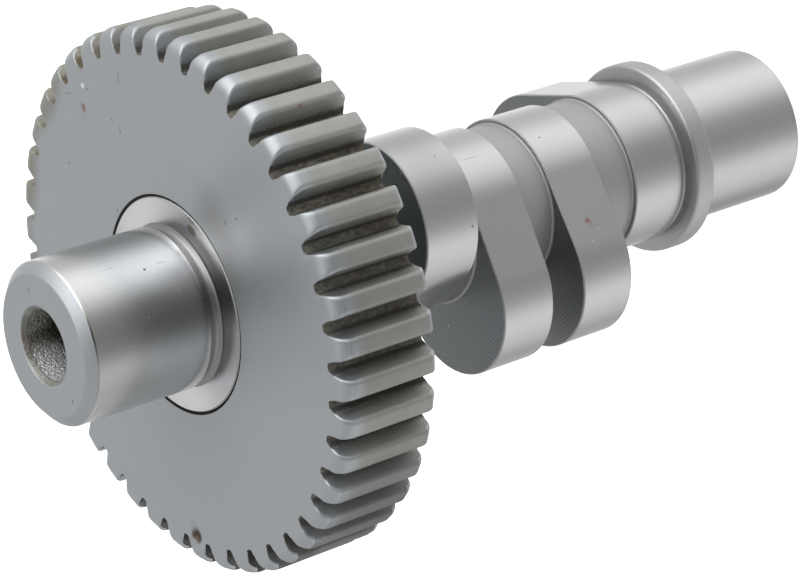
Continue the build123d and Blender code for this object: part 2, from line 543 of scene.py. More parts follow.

# The teeth: painted shade, partly in a near-black colour, on the side away from the light; silt in
# the upper gaps.
TOOTH_SPOTS = (
    # Painted shade on the teeth on the -X and -Y sides, away from the light
    Spot(SHADE, (-24.0, -24.5, 88.5), (9.0, 9.0, 9.0), 0.32, 0.6),
    Spot(SHADE, (-29.5, -17.5, 83.5), (6.0, 6.0, 3.0), 0.4, 0.6),
    Spot(SHADE, (-2.0, -34.5, 90.5), (15.0, 5.0, 8.0), 0.28, 0.6),
    Spot(SHADE, (-30.0, -3.0, 88.0), (11.0, 28.0, 6.5), 0.7, 0.5),
    # Painted shade, near black, at the ends of the lower gaps
    Spot(DIRT, (-30.5, 14.0, 95.0), (4.5, 9.0, 3.2), 0.8, 0.4, turn=-25.0),
    Spot(DIRT, (-33.0, 2.0, 95.0), (4.5, 9.0, 3.2), 0.8, 0.4, turn=-4.0),
    Spot(DIRT, (-31.5, -10.0, 95.0), (4.5, 8.0, 3.2), 0.6, 0.4, turn=18.0),
    Spot(RUST, (31.9, 5.1, 95.2), (0.6, 0.4, 0.8), 0.35),
    Spot(SILT, (33.4, 2.0, 95.0), (6.5, 3.4, 3.0), 0.5, 0.4, turn=-86.0),
    Spot(SILT, (31.2, 12.5, 95.0), (7.0, 3.6, 3.2), 0.85, 0.4, turn=-68.0),
    Spot(SILT, (24.6, 23.0, 95.0), (7.5, 3.6, 3.2), 0.85, 0.4, turn=-47.0),
    Spot(SILT, (14.4, 30.5, 95.0), (7.5, 3.6, 3.2), 0.85, 0.4, turn=-25.0),
    Spot(SILT, (2.4, 33.7, 95.0), (7.5, 3.6, 3.2), 0.85, 0.4, turn=-4.0),
    Spot(SCALE, (30.8, 9.99, 95.1), (0.9, 0.6, 1.0), 0.6),
    Spot(SCALE, (28.69, 14.32, 95.0), (0.9, 0.6, 1.0), 0.6),
    # A small painted highlight
    Spot(GLINT, (33.4, 6.4, 95.0), (0.15, 0.15, 0.2), 0.5),
    Spot(RUST, (22.23, -26.26, 88.83), (0.25, 0.2, 0.35), 0.6),
    Spot(RUST, (3.04, -32.87, 87.75), (0.3, 0.25, 0.5), 0.5),
)

# The nose journal: painted highlights and painted shade where it is lighter or darker than its
# surroundings make it, and pits.
NOSE_SPOTS = (
    Spot(GLINT, (7.4, -7.4, 102.0), (3.2, 3.2, 12.0), 0.45, 0.8),
    Spot(SHADE, (0.2, -10.4, 106.0), (2.9, 2.9, 14.0), 0.42, 0.65),
    Spot(GLINT, (6.0, -8.5, 98.2), (3.0, 2.6, 5.2), 0.5, 0.8),
    Spot(GLINT, (-3.5, -9.7, 104.2), (2.2, 2.0, 6.0), 0.3, 0.8),
    Spot(SHADE, (-1.2, -10.2, 99.6), (2.2, 2.0, 4.4), 0.35, 0.8),
    Spot(GLINT, (-5.6, -8.8, 99.0), (3.6, 3.2, 7.0), 0.4, 0.8),
    Spot(SHADE, (10.2, -2.6, 100.0), (2.4, 2.4, 6.0), 0.25, 0.8),
    Spot(SHADE, (-4.9, -9.1, 112.6), (3.6, 2.6, 4.6), 0.45, 0.8),
    Spot(GLINT, (-9.4, -4.4, 107.0), (2.6, 2.6, 12.0), 0.25, 0.8),
    Spot(PIT, (6.48, -8.03, 103.48), (0.17, 0.17, 0.17), 0.85),
    Spot(PIT, (7.66, -6.91, 107.46), (0.07, 0.07, 0.6), 0.35),
    Spot(PIT, (6.69, -7.86, 101.01), (0.07, 0.07, 0.6), 0.35),
)

# The rear journal and the lobes' ground flanks: painted shade, pits, rust and small painted
# highlights.
GROUND_SPOTS = (
    # Painted shade on the rearmost lobe, the lobe behind the gear and the rear journal
    Spot(SHADE, (4.7, -9.9, 26.0), (3.2, 3.2, 4.5), 0.16, 0.8),
    Spot(SHADE, (10.6, -16.8, 67.0), (4.5, 4.5, 6.0), 0.3, 0.8),
    Spot(SHADE, (10.3, -0.9, 9.0), (2.6, 2.6, 13.0), 0.28, 0.8),
    Spot(SHADE, (-9.0, -5.0, 9.0), (2.2, 2.2, 13.0), 0.3, 0.8),
    Spot(PIT, (10.6, -16.99, 65.0), (0.3, 0.3, 0.14), 0.3),
    Spot(PIT, (1.27, -19.39, 63.34), (0.18, 0.18, 0.18), 0.6),
    Spot(PIT, (7.68, -7.81, 41.53), (0.16, 0.16, 0.16), 0.6),
    Spot(PIT, (7.75, -7.73, 52.9), (0.08, 0.08, 1.3), 0.35),
    Spot(RUST, (9.77, -4.02, 30.01), (0.5, 0.75, 0.35), 0.8, turn=65.0),
    Spot(RUST, (7.64, -7.01, 30.1), (0.5, 0.6, 0.3), 0.55, turn=48.0),
    Spot(RUST, (-3.76, -12.48, 40.28), (0.35, 0.4, 0.45), 0.7),
    Spot(RUST, (-4.4, -12.7, 40.0), (0.5, 0.5, 0.5), 0.3),
    # Small painted highlights beside the rust
    Spot(GLINT, (-5.13, -12.88, 39.11), (0.14, 0.14, 0.14), 0.5),
    Spot(GLINT, (-6.3, -13.22, 40.73), (0.14, 0.14, 0.14), 0.5),
)

# The lobes' front faces: a small painted highlight and a pit.
LOBE_SPOTS = (
    Spot(GLINT, (-13.39, -0.26, 56.5), (0.2, 0.12, 0.2), 0.3),
    Spot(PIT, (-10.3, -6.3, 56.5), (0.2, 0.12, 0.2), 0.5),
)

# The front face of the lobe behind the gear, dark as painted shade, with rust, scale and silt.
DARK_SPOTS = (
    Spot(SCALE, (9.1, -17.1, 70.45), (0.34, 0.22, 0.3), 0.9, turn=20.0),
    Spot(SILT, (8.4, -17.5, 70.45), (0.2, 0.2, 0.3), 0.8, turn=60.0),
    Spot(RUST, (7.5, -18.2, 70.45), (0.3, 0.16, 0.3), 0.8, turn=60.0),
    Spot(SILT, (5.5, -19.2, 70.45), (0.16, 0.14, 0.3), 0.8),
    Spot(SILT, (4.0, -19.5, 70.45), (0.14, 0.14, 0.3), 0.8),
    Spot(SILT, (9.9, -17.0, 70.45), (0.3, 0.2, 0.3), 0.8),
)

# The end face of the nose.
END_SPOTS = (
    Spot(PIT, (7.05, 0.3, 114.75), (0.25, 0.16, 0.3), 0.5),
    Spot(PIT, (-6.69, -3.95, 114.75), (0.3, 0.16, 0.3), 0.6),
)

# The seat's front face: painted highlights in two sectors, painted shade on the -Y side, scale and
# silt.
SEAT_SPOTS = (
    Spot(GLINT, (11.5, 3.4, 95.8), (3.0, 6.2, 0.5), 0.75, 0.8, turn=20.0),
    Spot(GLINT, (-12.0, 1.5, 95.8), (3.2, 5.5, 0.5), 0.75, 0.8, turn=-5.0),
    Spot(SHADE, (1.7, -11.9, 95.8), (2.5, 4.4, 0.5), 0.7, 0.8, turn=8.0),
    Spot(SHADE, (7.3, -10.9, 95.8), (3.6, 3.6, 0.5), 0.6, 0.8),
    Spot(SCALE, (9.3, -7.85, 95.8), (0.5, 0.9, 0.3), 0.8, turn=-41.0),
    Spot(SILT, (10.6, -8.2, 95.8), (0.35, 0.8, 0.3), 0.7, turn=-41.0),
)

# The mouth of the hole in the nose.
MOUTH_SPOTS = (
    Spot(DIRT, (2.0, 4.3, 114.3), (3.6, 1.3, 0.6), 0.45, 0.6, turn=-20.0),
    Spot(PIT, (-2.2, 4.1, 114.2), (2.8, 1.0, 0.35), 0.6, 0.6, turn=25.0),
    Spot(SCALE, (1.2, 4.75, 114.4), (0.9, 0.5, 0.4), 0.5, 0.6),
    Spot(SCALE, (-0.9, 4.8, 114.4), (0.8, 0.5, 0.4), 0.4, 0.6),
)

# The wall of the hole: painted shade, near black, at the top, and a painted highlight at the
# bottom.
HOLE_SPOTS = (
    Spot(DIRT, (2.6, 3.4, 108.6), (4.6, 4.0, 2.6), 0.95, 0.5),
    Spot(DIRT, (0.4, 4.4, 111.0), (1.2, 3.0, 3.2), 0.7, 0.5),
    Spot(GLINT, (-3.4, 2.6, 112.2), (3.0, 3.8, 3.0), 1.0, 0.5),
)

# Each row: name, colour, roughness, depth and density of the tool marks, streaks, clouds.
FINISHES = {
    Surface.GROUND: SteelFinish(
        "ground_steel", (0.58, 0.585, 0.585), 0.24, 0.0015, 9.0, 0.07, 0.05, layers=GROUND_SPOTS
    ),
    Surface.NOSE: SteelFinish(
        "nose_steel", (0.6, 0.598, 0.582), 0.22, 0.0015, 9.0, 0.07, 0.05,
        layers=(Specks(0.16, 0.8), *NOSE_SPOTS),
    ),
    Surface.TURNED: SteelFinish("turned_steel", (0.52, 0.525, 0.52), 0.45, 0.004, 4.0, 0.12, 0.1),
    Surface.CORE: SteelFinish("core_steel", (0.48, 0.485, 0.48), 0.64, 0.004, 4.0, 0.12, 0.1),
    Surface.LOBE_FACE: SteelFinish(
        "cut_steel", (0.235, 0.245, 0.25), 0.42, 0.01, 1.9, 0.4, 0.15,
        layers=LOBE_SPOTS, ring_pitch=0.46,
    ),
    # The lobe behind the gear: a front face darkened as painted shade
    Surface.DARK_FACE: SteelFinish(
        "painted_shade_steel", (0.155, 0.17, 0.168), 0.45, 0.008, 1.9, 0.3, 0.3, layers=DARK_SPOTS
    ),
    # The relief groove, darkened as painted shade
    Surface.RELIEF: SteelFinish("shaded_relief_steel", (0.3, 0.305, 0.3), 0.35, 0.003, 6.0),
    Surface.SEAT: SteelFinish(
        "seat_steel", (0.6, 0.61, 0.63), 0.3, 0.003, 6.0, 0.12, 0.1, layers=SEAT_SPOTS
    ),
    Surface.FACE: SteelFinish(
        "face_steel", FACE_COLOUR, FACE_ROUGHNESS, 0.003, 5.0, 0.06, 0.06,
        layers=FACE_SPOTS + END_SPOTS,
    ),
    Surface.MOUTH: SteelFinish(
        "mouth_steel", (0.33, 0.33, 0.3), 0.5, 0.01, 4.0, 0.3, 1.6,
        metal=0.8, pitted=0.14, layers=MOUTH_SPOTS,
    ),
    Surface.HOLE: SteelFinish(
        "hole_steel", (0.46, 0.455, 0.42), 0.27, 0.01, 4.0, 0.3, 0.8,
        metal=0.6, pitted=0.36, layers=HOLE_SPOTS,
    ),
    Surface.TOOTH: SteelFinish(
        "tooth_steel", (0.45, 0.455, 0.43), 0.64, 0.006, 4.0, 0.1, 0.25,
        blend=Blend(FACE_COLOUR, FACE_ROUGHNESS, (92.3, 94.2)),
        layers=(GapDarkening(), *TOOTH_SPOTS),
    ),
    # The gear's bore break and wall, near black as painted shade in the gap at the seat
    Surface.CREVICE: SteelFinish("crevice_shade_steel", (0.06, 0.055, 0.05), 0.6, 0.006, 4.0),
}
MATERIALS = {surface: finish.material() for surface, finish in FINISHES.items()}


class RingLoft:
    """A surface that grows ring by ring, each ring with the same number of points."""

    def __init__(self, count: int) -> None:
        """Start with one ring of points."""
        self.count = count
        self.mesh = bmesh.new()
        self.rim = list(bmesh.ops.create_circle(self.mesh, segments=count, radius=1.0)["verts"])
        self.started = False

    def grow(self, outline: Outline, height: float, slot: Slots = 0) -> None:
        """Add a ring.

        Args:
            outline: The points' places across the axis, in millimetres.
            height: The ring's place along the axis, in millimetres.
            slot: The material slot of the band that leads to the ring, or of each of its faces.
        """
        if self.started:
            self.rim = self.extruded_rim(slot)
        self.started = True
        for vert, place in zip(self.rim, outline):
            vert.co = (*place, height)

    def extruded_rim(self, slot: Slots) -> list[bmesh.types.BMVert]:
        """Extrude the rim's edges and give the new points in the old order."""
        order = {vert: index for index, vert in enumerate(self.rim)}
        near = dict.fromkeys(edge for vert in self.rim for edge in vert.link_edges)
        edges = [edge for edge in near if all(vert in order for vert in edge.verts)]
        rim = [None] * self.count
        for item in bmesh.ops.extrude_edge_only(self.mesh, edges=edges)["geom"]:
            if isinstance(item, bmesh.types.BMFace):
                low, high = sorted(order[vert] for vert in item.verts if vert in order)
                first = low if high - low == 1 else high
                item.material_index = slot(first) if callable(slot) else slot
            if isinstance(item, bmesh.types.BMVert):
                others = (edge.other_vert(item) for edge in item.link_edges)
                rim[next(order[vert] for vert in others if vert in order)] = item
        return rim

    def close_point(self, height: float) -> None:
        """Draw the rim together to a point on the axis."""
        bmesh.ops.pointmerge(self.mesh, verts=self.rim, merge_co=(0.0, 0.0, height))


def place_at(angle: float, radius: float) -> Pair:
    """The place at an angle in radians and a radius about the axis."""
    return radius * math.cos(angle), radius * math.sin(angle)


def smooth_in_metres(mesh: bmesh.types.BMesh) -> None:
    """Scale a mesh from millimetres to metres and shade it smooth."""
    bmesh.ops.scale(mesh, vec=(MM, MM, MM), verts=mesh.verts)
    for face in mesh.faces:
        face.smooth = True


def linked_object(name: str, mesh: bmesh.types.BMesh) -> bpy.types.Object:
    """Make a mesh, which is used up, into an object of the scene."""
    data = bpy.data.meshes.new(name)
    mesh.to_mesh(data)
    mesh.free()
    piece = bpy.data.objects.new(name, data)
    bpy.context.collection.objects.link(piece)
    return piece


def finished_piece(name: str, mesh: bmesh.types.BMesh, slots: tuple) -> bpy.types.Object:
    """Turn a mesh in millimetres into an object in metres.

    Args:
        name: The object's name.
        mesh: The mesh, which is used up.
        slots: The surfaces of its material slots, in order.

    Returns:
        The new object, linked to the scene.
    """
    bmesh.ops.remove_doubles(mesh, verts=mesh.verts, dist=WELD)
    bmesh.ops.recalc_face_normals(mesh, faces=mesh.faces)
    smooth_in_metres(mesh)
    for edge in mesh.edges:
        edge.smooth = edge.calc_face_angle(math.pi) < math.radians(SHARP)
    piece = linked_object(name, mesh)
    for surface in slots:
        piece.data.materials.append(MATERIALS[surface])
    weighted = piece.modifiers.new("even_normals", "WEIGHTED_NORMAL")
    weighted.keep_sharp = True
    return piece


@dataclass
class Camshaft:
    """The turned and ground shaft with its four lobes, in millimetres from the rear end."""

    points: int = 240
    corner_bands: int = 3
    centre_hole: float = 1.25
    centre_depth: float = 5.5
    centre_mouth: float = 3.0
    centre_mouth_depth: float = 3.0
    journal: float = 10.32
    journal_edge: float = 0.3
    journal_fillet: float = 0.2
    rear_length: float = 17.8
    collar: float = 12.9
    collar_front: float = 20.8
    collar_edge: float = 0.45
    collar_fillet: float = 0.3
    core: float = 10.25
    base: float = 10.95
    nose_radius: float = 10.45
    nose_offset: float = 9.9
    lobe_width: float = 8.1
    lobe_fillet: float = 0.28
    lobe_edge: float = 0.2
    lobe_backs: tuple[float, ...] = (21.9, 35.6, 48.4, 62.35)
    lobe_directions: tuple[float, ...] = (84.0, -161.0, -165.0, -68.5)
    lobe_dress: tuple[tuple[Surface, Surface], ...] = (
        *((Surface.CORE, Surface.LOBE_FACE),) * 3,
        # The lobe behind the gear has a front face darkened as painted shade
        (Surface.TURNED, Surface.DARK_FACE),
    )
    shoulder: float = 16.0
    shoulder_back: float = 79.0
    shoulder_edge: float = 0.4
    gear_back: float = 82.0
    gear_front: float = 95.8
    seat: float = 13.65
    seat_break: float = 0.14
    relief: float = 9.72
    relief_drop: float = 0.5
    relief_edge: float = 0.1
    relief_fillet: float = 0.2
    nose_back: float = 97.45
    nose_back_edge: float = 0.12
    nose_end: float = 114.75
    nose_ease: float = 0.15
    chamfer_axial: float = 1.2
    chamfer_radial: float = 1.37
    chamfer_ease: float = 0.1
    mouth: float = 5.1
    mouth_depth: float = 0.6
    mouth_edge: float = 0.1
    throat_ease: float = 0.12
    hole: float = 4.45
    hole_depth: float = 19.0
    drill_point: float = 118.0
    drill_tip: float = 0.3
    slots: tuple[Surface, ...] = tuple(
        surface for surface in Surface if surface not in (Surface.TOOTH, Surface.CREVICE)
    )

    def __post_init__(self) -> None:
        """Start the surface that grows."""
        self.loft = RingLoft(self.points)

    def lobe(self, direction: float, inset: float) -> Outline:
        """The outline of a lobe.

        Args:
            direction: The direction of its nose, in degrees.
            inset: How far the outline lies inside the true one.

        Returns:
            The outline.
        """
        base = self.base - inset
        nose = self.nose_radius - inset
        touch = math.acos((base - nose) / self.nose_offset)
        nose_touch = self.nose_offset + nose * complex(math.cos(touch), math.sin(touch))
        nose_angle = math.atan2(nose_touch.imag, nose_touch.real)

        outline = []
        for index in range(self.points):
            angle = 2.0 * math.pi * index / self.points
            turn = (angle - math.radians(direction) + math.pi) % (2.0 * math.pi) - math.pi
            side = abs(turn)
            if side >= touch:
                radius = base
            elif side > nose_angle:
                radius = base / math.cos(touch - side)
            else:
                across = self.nose_offset * math.sin(side)
                radius = self.nose_offset * math.cos(side) + math.sqrt(nose ** 2 - across ** 2)
            outline.append(place_at(angle, radius))
        return outline

    def ring(self, radius: float) -> Outline:
        """A round outline of the shaft."""
        turns = (2.0 * math.pi * index / self.points for index in range(self.points))
        return [place_at(turn, radius) for turn in turns]

    def turn_to(self, radius: float, height: float, surface: Surface) -> None:
        """Grow a round ring, with the finish of the band that leads to it."""
        self.loft.grow(self.ring(radius), height, self.slots.index(surface))

    def rounded(
        self,
        corner: Pair,
        start: Pair,
        end: Pair,
        surface: Surface,
        outline: Callable[[float], Outline] | None = None,
        lead: Surface | None = None,
    ) -> None:
        """Grow rings round a corner of the section.

        Args:
            corner: The sharp corner, as radius and height.
            start: The direction from the corner back along the section, scaled to the rounding.
            end: The direction from the corner on along the section, scaled to the rounding.
            surface: The finish.
            outline: Gives the outline at a radius; a circle when left out.
            lead: The finish of the band that leads to the corner; the same when left out.
        """
        shape = outline or self.ring
        for step in range(self.corner_bands + 1):
            angle = math.pi / 2 * step / self.corner_bands
            back = 1.0 - math.sin(angle)
            on = 1.0 - math.cos(angle)
            radius = corner[0] + start[0] * back + end[0] * on
            height = corner[1] + start[1] * back + end[1] * on
            dress = lead if lead and step == 0 else surface
            self.loft.grow(shape(radius), height, self.slots.index(dress))

    def grow_rear(self) -> None:
        """Grow the centre hole, the rear journal and the thrust collar."""
        face, turned = Surface.FACE, Surface.TURNED
        self.turn_to(self.centre_hole, self.centre_depth, face)
        self.turn_to(self.centre_hole, self.centre_mouth_depth, face)
        self.turn_to(self.centre_mouth, 0.0, face)
        edge, fillet = self.journal_edge, self.journal_fillet
        self.rounded((self.journal, 0.0), (-edge, 0), (0, edge), face)
        foot = (self.journal, self.rear_length)
        self.rounded(foot, (0, -fillet), (fillet, 0), Surface.GROUND)
        edge, fillet = self.collar_edge, self.collar_fillet
        self.rounded((self.collar, self.rear_length), (-edge, 0), (0, edge), turned)
        self.rounded((self.collar, self.collar_front), (0, -edge), (-edge, 0), turned)
        self.rounded((self.core, self.collar_front), (fillet, 0), (0, fillet), turned)

    def grow_lobe(self, back: float, direction: float, core: Surface, face: Surface) -> None:
        """Grow one lobe out of the core, with a fillet at its feet and broken edges.

        Args:
            back: The place of the lobe's rear face along the axis.
            direction: The direction of its nose, in degrees.
            core: The finish of the core behind it.
            face: The finish of its front face.
        """
        front = back + self.lobe_width
        fillet, edge, soft = self.lobe_fillet, self.lobe_edge, Surface.CORE

        def shape(inset: float) -> Outline:
            """The lobe's outline, so far inside the true one."""
            return self.lobe(direction, inset)

        self.rounded((self.core, back), (0, -fillet), (fillet, 0), core)
        self.rounded((0, back), (edge, 0), (0, edge), Surface.TURNED, shape)
        self.rounded((0, front), (0, -edge), (edge, 0), soft, shape, Surface.GROUND)
        self.turn_to(self.core + fillet, front, face)
        self.rounded((self.core, front), (fillet, 0), (0, fillet), soft)

    def grow_seat(self) -> None:
        """Grow the shoulder, the gear's seat and the relief in front of it."""
        turned, relief = Surface.TURNED, Surface.RELIEF
        edge = self.shoulder_edge
        self.rounded((self.core, self.shoulder_back), (0, -edge), (edge, 0), turned)
        self.rounded((self.shoulder, self.shoulder_back), (-edge, 0), (0, edge), turned)
        self.turn_to(self.shoulder, self.gear_back, turned)
        self.turn_to(self.seat, self.gear_back, turned)
        self.turn_to(self.seat, self.gear_front - self.seat_break, Surface.GROUND)
        self.turn_to(self.seat - self.seat_break, self.gear_front, Surface.CORE)
        edge, fillet, lip = self.relief_edge, self.relief_fillet, self.nose_back_edge
        floor = (self.relief, self.gear_front + self.relief_drop)
        self.turn_to(self.journal + edge, self.gear_front, Surface.SEAT)
        self.rounded((self.journal, self.gear_front), (edge, 0), (-edge, edge), relief)
        self.rounded(floor, (fillet, -fillet), (0, fillet), relief)
        self.rounded((self.relief, self.nose_back), (0, -fillet), (fillet, 0), relief)
        self.rounded((self.journal, self.nose_back), (-lip, 0), (0, lip), relief)

    def grow_nose(self) -> None:
        """Grow the nose journal's end with its chamfer and the hole in it."""
        face, hole = Surface.FACE, Surface.HOLE
        across = self.chamfer_radial * self.chamfer_ease
        along = self.chamfer_axial * self.chamfer_ease
        top = (self.journal, self.nose_end - self.chamfer_axial)
        rim = (self.journal - self.chamfer_radial, self.nose_end)
        ease, edge, throat = self.nose_ease, self.mouth_edge, self.throat_ease
        self.rounded(top, (0, -ease), (-across, along), Surface.NOSE)
        self.rounded(rim, (across, -along), (-ease, 0), face)
        self.rounded((self.mouth, self.nose_end), (edge, 0), (-edge, -edge), face)
        mouth_end = (self.hole, self.nose_end - self.mouth_depth)
        self.rounded(mouth_end, (throat, throat), (0, -ease), Surface.MOUTH)
        bottom = self.nose_end - self.hole_depth
        point = self.hole / math.tan(math.radians(self.drill_point / 2))
        self.turn_to(self.hole, bottom, hole)
        tip_height = bottom - point * (1.0 - self.drill_tip / self.hole)
        self.turn_to(self.drill_tip, tip_height, hole)
        self.loft.close_point(bottom - point)

    def build(self) -> bpy.types.Object:
        """Build the shaft and dress it."""
        self.grow_rear()
        for back, direction, dress in zip(self.lobe_backs, self.lobe_directions, self.lobe_dress):
            self.grow_lobe(back, direction, *dress)
        self.grow_seat()
        self.grow_nose()
        mesh = self.loft.mesh
        ends = [edge for edge in mesh.edges if edge.is_boundary]
        cap = bmesh.ops.edgeloop_fill(mesh, edges=ends)["faces"]
        bmesh.ops.poke(mesh, faces=cap)
        return finished_piece("camshaft_body", mesh, self.slots)


@dataclass
class TimingGear:
    """The spur gear with involute teeth, in millimetres from the shaft's rear end."""

    teeth: int = 42
    module: float = 1.5875
    pressure_angle: float = 14.5
    addendum: float = 1.36
    dedendum: float = 1.99
    thickening: float = 0.44
    root_width: float = 1.15
    root_rise: float = 0.3
    tip_round: float = 0.65
    back: float = 82.0
    front: float = 95.8
    bore: float = 13.66
    bore_break: float = 0.35
    face_rings: tuple[float, ...] = (16.5, 22.0, 28.0, 30.6)
    front_end: Pair = (2.0, 1.7)
    back_end: Pair = (1.5, 1.3)
    end_turns: tuple[float, ...] = (0.0, 9.0, 18.0, 27.0, 36.0, 54.0, 72.0, 90.0)
    end_tip_share: float = 0.35
    edge_bands: int = 2
    crest_bands: int = 6
    first_gap: float = 33.65
    root_points: int = 4
    flank_points: int = 6
    tip_points: int = 4
    edge: float = 0.3
    edge_fade: float = 0.5
    mark_diameter: float = 2.3
    mark_depth: float = 0.6
    mark_inset: float = 0.55
    mark_tooth: int = 15
    mark_points: int = 48
    key_direction: float = 99.0
    key_width: float = 3.22
    key_margin: float = 1.02
    keyway_top: float = 15.39
    slots: tuple[Surface, ...] = (Surface.FACE, Surface.TOOTH, Surface.CREVICE)

    def __post_init__(self) -> None:
        """Work out the radii of the teeth and the number of points round them."""
        self.pitch_radius = self.teeth * self.module / 2
        self.outside = self.pitch_radius + self.addendum
        self.root = self.pitch_radius - self.dedendum
        self.base = self.pitch_radius * math.cos(math.radians(self.pressure_angle))
        self.half_pitch = math.pi / self.teeth
        self.half_count = len(self.half_gap(self.outside))
        self.count = self.teeth * 2 * self.half_count

    @staticmethod
    def involute(angle: float) -> float:
        """The involute function of an angle in radians."""
        return math.tan(angle) - angle

    def gap_angle(self, radius: float, inset: float) -> float:
        """Half the angle of a tooth gap in radians, its flanks set in by the inset."""
        contact = math.acos(min(1.0, self.base / radius))
        thickness = math.pi * self.module / 2 + self.thickening
        turn = self.involute(math.radians(self.pressure_angle)) - self.involute(contact)
        return self.half_pitch - thickness / (2 * self.pitch_radius) - turn + inset / radius

    def half_gap(self, limit: float, tip_share: float = 1.0, inset: float = 0.0) -> list[Pair]:
        """Half the outline of one tooth pitch.

        Args:
            limit: The radius that the teeth reach.
            tip_share: How much of the tips' rounding there is.
            inset: How far the flanks lie inside the true ones.

        Returns:
            Pairs of an angle from the middle of the gap, in radians, and a radius,
            from the middle of the gap's floor to the middle of the tooth's crest.
        """
        foot = self.root + self.root_rise
        foot_angle = self.root_width / 2 / foot
        outline = []
        for step in range(self.root_points):
            share = (step + 0.5) / self.root_points
            rise = 1.0 - math.sqrt(1.0 - share ** 2)
            outline.append((foot_angle * share, self.root + self.root_rise * rise))
        outline.append((foot_angle, foot))
        tip = self.tip_round * tip_share
        top = limit - tip
        for step in range(self.flank_points):
            radius = self.base + (top - self.base) * step / (self.flank_points - 1)
            share = min(1.0, (radius - self.base) / self.edge_fade)
            outline.append((self.gap_angle(radius, inset * share), radius))
        top_angle = outline[-1][0]
        reach = tip / limit
        for step in range(1, self.tip_points + 1):
            turn = math.pi / 2 * step / self.tip_points
            angle = top_angle + reach * (1 - math.cos(turn))
            outline.append((angle, top + tip * math.sin(turn)))
        last = outline[-1][0]
        outline.append((last + (self.half_pitch - last) * 0.5, limit))
        return outline

    def tooth_ring(self, *place: float) -> Outline:
        """The whole toothed outline, for the arguments that half_gap takes."""
        half = self.half_gap(*place)
        pitch = [(-angle, radius) for angle, radius in reversed(half)] + half
        first = math.radians(self.first_gap)
        gaps = (first + gap * 2 * self.half_pitch for gap in range(self.teeth))
        return [place_at(gap + turn, radius) for gap in gaps for turn, radius in pitch]

    def tooth_end(self, face: float, inward: int, size: Pair) -> list[tuple[Outline, float]]:
        """The rings of a rounded tooth end, from the gear's face to the full tooth.

        Args:
            face: The face's place along the axis.
            inward: 1 or -1, the direction into the gear.
            size: How far the rounding reaches across and along the axis.

        Returns:
            Pairs of an outline and its height.
        """
        rings = []
        for turn in map(math.radians, self.end_turns):
            depth = size[1] * (1.0 - math.cos(turn))
            left = max(self.edge - depth, 0.0)
            inset = self.edge - math.sqrt(self.edge ** 2 - left ** 2)
            limit = self.outside - size[0] * (1.0 - math.sin(turn))
            tip_share = self.end_tip_share + (1.0 - self.end_tip_share) * math.sin(turn)
            rings.append((self.tooth_ring(limit, tip_share, inset), face + inward * depth))
        return rings

    def end_slots(self, band: int) -> Slots:
        """The finishes of a band of a tooth end, with the face's where the end is round.

        Args:
            band: The band's number, from the gear's face.

        Returns:
            The slot of each face of the band.
        """
        half = self.half_count
        flank_top = self.root_points + self.flank_points

        def slot(index: int) -> int:
            """The slot of the face that starts at one point of the teeth."""
            place = index % (2 * half)
            from_root = place - half if place >= half else half - 2 - place
            if from_root >= flank_top:
                round_end = band < self.crest_bands
            else:
                round_end = band < self.edge_bands and from_root >= self.root_points
            return self.slots.index(Surface.FACE if round_end else Surface.TOOTH)

        return slot

    def under_teeth(self, radius: float) -> Outline:
        """A round outline whose points lie under those of the teeth."""
        turns = (math.atan2(y, x) for x, y in self.tooth_ring(self.outside))
        return [place_at(turn, radius) for turn in turns]

    def bore_ring(self, radius: float) -> Outline:
        """The bore's outline with the keyway in it."""
        along = place_at(math.radians(self.key_direction), 1.0)
        half_width = self.key_width / 2
        outline = []
        for x, y in self.under_teeth(radius):
            out = x * along[0] + y * along[1]
            side = abs(y * along[0] - x * along[1])
            if out > 0 and side <= half_width * self.key_margin:
                scale = self.keyway_top / out
                if side * scale > half_width:
                    scale = half_width / side
                x, y = x * scale, y * scale
            outline.append((x, y))
        return outline

    def build(self) -> bpy.types.Object:
        """Build the gear and dress it."""
        face, crevice = self.slots.index(Surface.FACE), self.slots.index(Surface.CREVICE)
        bore, mouth = self.bore_ring(self.bore), self.bore_ring(self.bore + self.bore_break)
        discs = [self.under_teeth(radius) for radius in self.face_rings]
        loft = RingLoft(self.count)
        loft.grow(bore, self.back + self.bore_break, face)
        for outline in (mouth, *discs):
            loft.grow(outline, self.back, face)
        for ring, (outline, height) in enumerate(self.tooth_end(self.back, 1, self.back_end)):
            loft.grow(outline, height, self.end_slots(ring - 1) if ring else face)
        front_rings = enumerate(self.tooth_end(self.front, -1, self.front_end))
        for ring, (outline, height) in reversed(list(front_rings)):
            loft.grow(outline, height, self.end_slots(ring))
        for outline in (*reversed(discs), mouth):
            loft.grow(outline, self.front, face)
        # The bore's front break and its wall are near black, as painted shade in the gap at the
        # seat
        loft.grow(bore, self.front - self.bore_break, crevice)
        loft.grow(bore, self.back + self.bore_break, crevice)
        piece = finished_piece("timing_gear_body", loft.mesh, self.slots)
        self.punch_mark(piece)
        return piece

    def punch(self) -> bpy.types.Object:
        """The ball that leaves the timing mark, where it has sunk into the front face."""
        direction = math.radians(self.first_gap) + (self.mark_tooth + 0.5) * 2 * self.half_pitch
        radius = self.root - self.mark_inset
        ball = (self.mark_diameter ** 2 / 4 + self.mark_depth ** 2) / (2 * self.mark_depth)
        height = self.front + ball - self.mark_depth
        centre = (*place_at(direction, radius), height)
        mesh = bmesh.new()
        bmesh.ops.create_uvsphere(
            mesh, u_segments=self.mark_points, v_segments=self.mark_points, radius=ball
        )
        bmesh.ops.translate(mesh, vec=centre, verts=mesh.verts)
        smooth_in_metres(mesh)
        return linked_object("punch", mesh)

